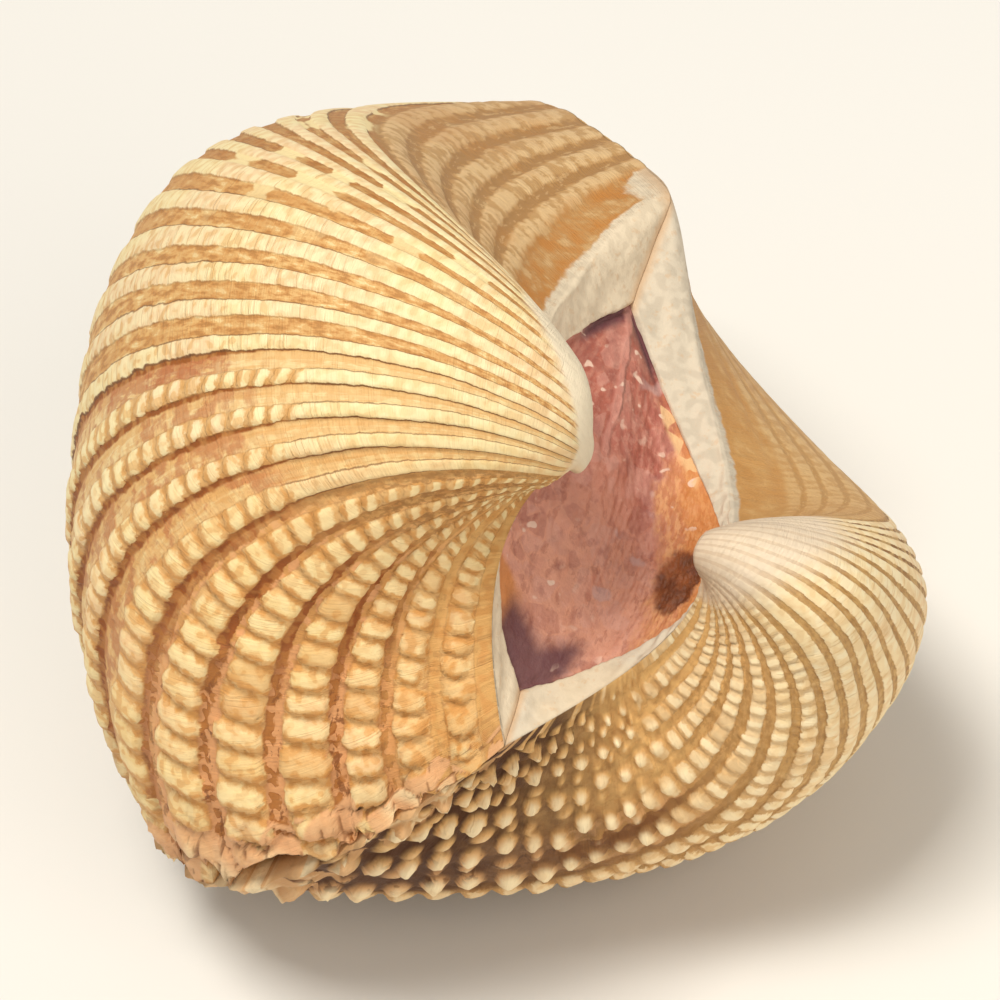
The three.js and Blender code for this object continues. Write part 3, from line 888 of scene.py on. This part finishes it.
def rim_tones(f, colour):
    """The chalky rims of the cardinal area over a colour, with a warm crease at the hinge line, a chalky
    corner and ridge beside them, and the brown floor between them."""
    tones = f.tones
    chalky = f.layered(
        tones["chalk"],
        (f.patch.step(0.4, 0.7) * 0.7, tones["chalk_grey"]),
        (f.cloud.step(0.5, 0.7) * 0.35, tones["chalk_warm"]),
        (f.fine.step(0.56, 0.68) * 0.35, tones["crease"]),
        (f.age.step(0.07, 0.0) * 0.6, tones["crease"]),
    )
    corner = (f.age * 0.9 + f.rib * 0.3 + 0.15 + (f.blotch - 0.5) * 0.14).step(0.11, 0.07)
    ridge = (f.place + (f.blotch - 0.5) * 0.012).step(0.009, 0.006)
    white = f.chalk.step(0.05, 0.35).most(corner).most(ridge)
    return f.layered(colour, (white, chalky), (f.floor.step(0.1, 0.6), tones["floor"]))


def shell_finish(name, tones, strength):
    """Natural shell: the tones of its ribs, lines, slope, age and rims, with growth lines, bars, ticks and
    grain in relief. It is rougher where it is chalky."""
    f = ShellFinish(name, tones, strength)
    # The thin dark rib lines over the ribs: painted shade along the steps down from each crest.
    colour = f.mixed(rib_lines(f), ribbed_tones(f), f.tones["line"])
    colour = rim_tones(f, aged_tones(f, slope_tones(f, colour)))
    lines = f.noise(f.joined(f.rib * 0.2, f.age * 140), 1.0, 3, 0.7)
    height = lines * 0.8 + f.bar * f.beaded * (1 - f.pointed) * 0.4
    height = height + f.across * f.ticks * f.crest * strength["ticks"]
    height = height * (1 - f.chalk) + f.fine * 0.5 + f.blotch * 0.8
    roughness = 0.5 + f.blotch * 0.2 + f.chalk * 0.15
    return f.finished(colour, roughness, height, SHELL_GRAIN)


# The depth of the shell's grain in metres, and its noises in waves per metre.
SHELL_GRAIN = 0.00012
FINE_WAVES = 2200
BLOTCH_WAVES = 700
CLOUD_WAVES = 130
PATCH_WAVES = 1700

RIGHT_TONES = {
    "cream": "efd9a2", "peach": "eed0a2", "pale": "f7eabc", "tan": "d9a765",
    "notch": "d3a062", "golden": "e2b878", "orange": "cf9656", "groove": "98561f",
    "rust": "b47a40", "brown": "b8874f", "olive": "8f6231", "shoulder": "e3bd84",
    # line: the painted shade along the steep sides of the ribs.
    "line": "6a4220", "flake": "e0aa7a", "slope": "bf935c", "slope_bar": "ddb987",
    "slope_dark": "936735", "amber": "bd7f3c", "umbo": "f3e3c6", "stain": "85522a",
    "rusty": "b2643a", "chalk": "decdb2", "chalk_grey": "cfbea4", "chalk_warm": "dfc69e",
    "crease": "c9a074", "floor": "a06450", "warm": "ffefda",
}

# How strong each thing in the finish is. crests: half a crest's width, and what is added to it on the middle
# and on the front ribs. golden_from: the ribs between which the spaces turn golden. tick_ages: the ages
# between which the ticks end. bare: as for the relief. line: how dark the painted shade along the ribs'
# sides is. shade: how strong the painted shade on the ground between the pegs is.
RIGHT_STRENGTH = {
    "crests": (0.255, -0.05, 0.135), "widening": 1.0, "uneven": 1.0, "line": 0.85,
    "ticks": 0.4, "tick_rate": 90, "tick_ages": (1.4, 1.7), "islands": 1.0,
    "ground": 1.0, "rusty": 0.6, "golden_from": (22.6, 24.6), "pegs": 0.0,
    "slope_groove": 0.5, "bare": (2.8, 0.09, 0.15), "umbo_grooves": 0.0, "shade": 0.0, "warm": 0.8,
}

right_valve = valve_piece("right_valve_shell", RIGHT)
right_valve.data.materials.append(shell_finish("right_valve_finish", RIGHT_TONES, RIGHT_STRENGTH))
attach(right_valve, "root")
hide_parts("right_valve")

# Left valve. The other half, one piece of shell under the right valve. It grew as the mirror image, with its
# ribs between those of the right valve so that the edges lock, and near its front the beads stand up as
# separate pegs, with smaller ones between the rows.
LEFT = {
    "side": -1, "seed": 17, "beak_out": 4.1, "shrink": 0.652, "rib_shift": 0.72,
    "low_rib": 0.36, "high_rib": 1.1, "slope_rib": 0.12, "shoulder": 0.0,
    "crests": (0.31, 0.29, 0.33), "widening": 0.3,
    "bead_rate": 14.4, "closer": 0.0, "tilt": (0.45, 0.1), "pegs": 0.9,
    "umbo": (0.45, 2.0, 2.8, 8, 20), "bare": (2.8, 0.045, 0.9),
    "chip": 0.0, "broken": 0.6,
}
LEFT_TONES = RIGHT_TONES | {
    "cream": "f6deae", "peach": "f3d4a4", "pale": "faebc6", "tan": "dfb273",
    "notch": "b98b50", "golden": "e6bb7a", "orange": "bd9052", "groove": "85562a",
    "rust": "966838", "brown": "c8a268", "olive": "866034", "shoulder": "d0a468",
    # line: the painted shade along the steep sides of the ribs.
    "line": "6b4c28", "flake": "cf9e6a", "slope": "cb9a5c", "slope_bar": "dcb47a",
    # stain: also the painted shade on the ground between the pegs.
    "slope_dark": "b2864c", "amber": "c58f4e", "umbo": "eedac0", "stain": "523014",
    "rusty": "a06a38", "chalk": "cfc2ad", "chalk_grey": "beb19d",
}
LEFT_STRENGTH = {
    "crests": (0.31, -0.03, 0.03), "widening": 0.3, "uneven": 1.7, "line": 0.15,
    "ticks": 0.5, "tick_rate": 48, "tick_ages": (2.4, 2.8), "islands": 0.0,
    "ground": 0.15, "rusty": 0.2, "golden_from": (20.4, 21.8), "pegs": 1.0,
    "slope_groove": 0.4, "bare": (2.75, 0.045, 0.4), "umbo_grooves": 0.2, "shade": 1.0, "warm": 0.4,
}

left_valve = valve_piece("left_valve_shell", LEFT)
left_valve.data.materials.append(shell_finish("left_valve_finish", LEFT_TONES, LEFT_STRENGTH))
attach(left_valve, "root")
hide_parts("left_valve")

# Ligament. The dried horny sheet that holds the valves together, grown in the sunk floors of both cardinal
# areas and folded along the hinge line. It is mauve brown, mottled, with pale specks and orange edges.
LIGAMENT_INSET = 0.25
LIGAMENT_FILL = 1.7
FILL_AGE = 0.4
LIGAMENT_AGE = 2.2
LIGAMENT_ROWS = 130
LIGAMENT_COLUMNS = 110
LIGAMENT_GRAIN = 0.00018
HORN_BLOTCH_WAVES = 650
HORN_CLOUD_WAVES = 170
HORN_CELL_WAVES = 900
SPECK_WAVES = 1100
SPOT_WAVES = 480
WRINKLE_WAVES = 1000


def ligament_grid():
    """The sheet as rings, one for each age from one beak over the hinge line to the other: forward on top and
    back underneath. Its top lies just under the rims, fills the fold with a round bottom, and is wrinkled."""
    shares = np.linspace(FLOOR_FRONT - 0.014, FLOOR_REAR + 0.014, LIGAMENT_COLUMNS)[None, :]
    ways = np.linspace(-1, 1, 2 * LIGAMENT_ROWS + 1)[:, None]
    way = np.broadcast_to(ways, (len(ways), LIGAMENT_COLUMNS))
    age = LIGAMENT_AGE * np.abs(way)
    deep = FLOOR_DEPTH * np.clip(1 - age / FLOOR_FADE_AGE, 0, 1)
    middle = np.sin(np.clip((shares - FLOOR_FRONT) / (FLOOR_REAR - FLOOR_FRONT), 0, 1) * math.pi) ** 0.6
    wrinkle = 0.10 * drift(shares * 7, age * 2.2, 41) + 0.05 * drift(shares * 22, age * 8, 42)
    layers = []
    for under in (False, True):
        halves = []
        for valve, part in ((LEFT, slice(0, LIGAMENT_ROWS)), (RIGHT, slice(LIGAMENT_ROWS, None))):
            top = LIGAMENT_INSET - wrinkle[part] * middle
            rise = -(deep[part] + 0.1) if under else -np.minimum(top, deep[part])
            point = raised(valve, np.broadcast_to(1 + shares, age[part].shape), age[part], rise)
            point[..., 1] = valve["side"] * np.maximum(point[..., 1], 0.0)
            halves.append(point)
        layers.append(np.concatenate(halves))
    top, bottom = layers
    top[..., 2] += LIGAMENT_FILL * middle * np.exp(-(age / FILL_AGE) ** 2)
    there_and_back = np.concatenate([shares, shares[:, ::-1]], 1)
    follow = {
        "age": np.concatenate([way, way], 1) * LIGAMENT_AGE,
        "share": np.broadcast_to(there_and_back, (len(ways), 2 * LIGAMENT_COLUMNS)),
    }
    return np.concatenate([top, bottom[:, ::-1]], 1), follow


def ligament_finish():
    """Mauve brown horn, mottled along its length, darker and redder toward the rear and lighter toward the
    front, partly as painted light where the umbo shades it. A pale line runs along the fold. It is orange
    near the left beak and along its front edge on the right valve, with a dark brown painted shadow in the
    recess by the left beak, purple at both ends of the fold, with pale crusts and specks. Its age is negative
    on the left valve's side."""
    f = Finish("ligament_finish")
    age, share = f.followed("age"), f.followed("share")
    space = f.node("ShaderNodeTexCoord", {}, {}, "Object")
    fine = f.noise(space, FINE_WAVES, 4, 0.6)
    blotch = f.noise(space, HORN_BLOTCH_WAVES, 4, 0.6)
    cloud = f.noise(space, HORN_CLOUD_WAVES, 3)
    runs = f.noise(f.joined(share * 26, age * 11), 1.0, 4, 0.6)
    patches = f.cells(space, HORN_CELL_WAVES)
    leftward = age * -1
    fold = age.size()
    uneven = (cloud - 0.5) * 0.9 + (blotch - 0.5) * 0.7

    near_beak = (leftward + (share - 0.5) * 0.5 + uneven).step(0.66, 1.02)
    glow = (leftward + (share - 0.72) * 1.3 + uneven * 0.6).step(0.88, 1.14)
    strip = (share + (blotch - 0.5) * 0.03).step(0.205, 0.185) * age.step(0.2, 0.45)
    fold_ends = share.step(0.2, 0.15).most(share.step(0.755, 0.785))
    purple = fold_ends * (fold + uneven * 0.4).step(0.5, 0.25)
    pale_line = (fold + (blotch - 0.5) * 0.08).step(0.045, 0.015) * (share + uneven * 0.1).step(0.47, 0.53)
    specks = f.noise(space, SPECK_WAVES, 1, 0.4).step(0.66, 0.71) * cloud.step(0.42, 0.52)
    spots = f.noise(space, SPOT_WAVES, 1, 0.3).step(0.645, 0.70) * age.step(-0.1, -0.3)
    crust = share.step(0.735, 0.765) * leftward.band(0.75, 0.32, 0.1) * patches.step(0.5, 0.6)
    # A dark brown painted shadow in the recess by the left beak, where the ligament runs under it.
    sunk = ((share - 0.38) * 6.0).power(2) + ((leftward - 1.45) * 2.2).power(2)
    painted_beak_shadow = (sunk + uneven * 1.1).step(1.1, 0.6)
    colour = f.layered(
        # Lighter base toward the front, darker toward the rear: partly the horn's own tone, partly painted
        # light to lift the shade that the umbo casts on its front.
        tone("d89a80"),
        (share.step(0.3, 0.62), tone("a95f4e")),
        (runs.step(0.45, 0.62) * 0.5, tone("c98c78")),
        (runs.step(0.46, 0.36) * 0.4, tone("93503f")),
        (patches.step(0.55, 0.85) * 0.35, tone("d09c8e")),
        (patches.step(0.35, 0.15) * 0.35, tone("985a50")),
        (fine.step(0.52, 0.66) * 0.25, tone("dba592")),
        (blotch.step(0.46, 0.34) * 0.4, tone("8c4c44")),
        (near_beak * 0.7, tone("ca8552")),
        (near_beak * runs.step(0.46, 0.58) * 0.7, tone("dfa573")),
        (glow * 0.55, tone("cc8440")),
        (strip * 0.85, tone("cd8548")),
        (purple * 0.9, tone("5a343c")),
        (pale_line * 0.5, tone("cf9384")),
        (specks * 0.8, tone("eacbb6")),
        (spots * 0.5, tone("c4a4a0")),
        (crust * 0.8, tone("e2b986")),
        (painted_beak_shadow * 0.9, f.mixed(blotch.step(0.4, 0.6), tone("5f2c12"), tone("8a4a24"))),
    )
    height = blotch + f.noise(space, WRINKLE_WAVES, 0) * 0.8 + fine * 0.3 + runs * 0.4 + pale_line * 0.5
    return f.finished(colour, 0.42 + blotch * 0.2, height, LIGAMENT_GRAIN)


ligament_rings, ligament_follow = ligament_grid()
ligament_poles = np.stack([ligament_rings[0].mean(0), ligament_rings[-1].mean(0)])
ligament = closed_piece("dried_ligament", in_part(ligament_rings), in_part(ligament_poles), ligament_follow)
ligament.data.materials.append(ligament_finish())
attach(ligament, "root")
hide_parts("ligament")

# Floor, lights and camera. A plain pale floor, a soft key light from the upper left of the camera, a larger
# and weaker one from its right, and a dim even sky. The camera looks at the beaks, at the distance and angle
# of the photograph, and its directions are given in the shell's own frame.
CAMERA_DISTANCE = 265.0
CAMERA_ASIDE = -4.27
CAMERA_BELOW = -0.5
CAMERA_LENS = 175.6
SENSOR_WIDTH = 36.0
NEAR_CLIP = 0.01
VIEW_RIGHT = np.array([0.248, -0.717, 0.651])
VIEW_UP = np.array([0.828, 0.506, 0.242])
FLOOR_HALF = 2.0
LAMP_TONE = (1.0, 0.96, 0.88)
SKY_TONE = (1.0, 0.97, 0.92, 1.0)
SKY_STRENGTH = 0.40

floor_mesh = bpy.data.meshes.new("floor")
floor_corners = [(x * FLOOR_HALF, y * FLOOR_HALF, 0) for x, y in ((-1, -1), (1, -1), (1, 1), (-1, 1))]
floor_mesh.from_pydata(floor_corners, [], [(0, 1, 2, 3)])
floor_plane = bpy.data.objects.new("floor", floor_mesh)
bpy.context.scene.collection.objects.link(floor_plane)
floor_finish = Finish("pale_floor")
floor_inputs = {"Base Color": tone("e4e2de"), "Roughness": 0.8, "Specular IOR Level": 0.1}
floor_shader = floor_finish.node("ShaderNodeBsdfPrincipled", {}, floor_inputs)
floor_finish.node("ShaderNodeOutputMaterial", {}, {"Surface": floor_shader})
floor_mesh.materials.append(floor_finish.material)

right_way = VIEW_RIGHT / np.linalg.norm(VIEW_RIGHT)
up_way = VIEW_UP - (VIEW_UP @ right_way) * right_way
up_way /= np.linalg.norm(up_way)
back_way = np.cross(right_way, up_way)
eye = back_way * CAMERA_DISTANCE + right_way * CAMERA_ASIDE + up_way * CAMERA_BELOW
axes = np.stack([right_way, up_way, back_way], 1)
camera = bpy.data.objects.new("camera", bpy.data.cameras.new("camera"))
camera.data.lens = CAMERA_LENS
camera.data.sensor_width = SENSOR_WIDTH
camera.data.clip_start = NEAR_CLIP
camera_turn = Matrix((lie_turn @ axes).tolist()).to_4x4()
camera.matrix_world = Matrix.Translation(in_part(eye)) @ camera_turn
bpy.context.scene.collection.objects.link(camera)
bpy.context.scene.camera = camera


def soft_light(name, across_view, up_view, toward, size, power):
    """A square lamp, placed in metres from the shell along the camera's right, up and back, and facing it."""
    lamp = bpy.data.objects.new(name, bpy.data.lights.new(name, "AREA"))
    lamp.data.size = size
    lamp.data.energy = power
    lamp.data.color = LAMP_TONE
    way = lie_turn @ (right_way * across_view + up_way * up_view + back_way * toward)
    lamp.location = SHELL_PLACE * MM + way
    lamp.rotation_mode = "QUATERNION"
    lamp.rotation_quaternion = Vector(-way).to_track_quat("-Z", "Y")
    bpy.context.scene.collection.objects.link(lamp)


soft_light("key_light", across_view=-0.24, up_view=0.46, toward=0.6, size=0.3, power=5.4)
soft_light("fill_light", across_view=0.3, up_view=0.0, toward=0.72, size=0.5, power=2.1)
world = bpy.data.worlds.new("studio")
world.use_nodes = True
sky = world.node_tree.nodes["Background"]
sky.inputs["Color"].default_value = SKY_TONE
sky.inputs["Strength"].default_value = SKY_STRENGTH
bpy.context.scene.world = world
bpy.context.scene.view_settings.view_transform = "Standard"
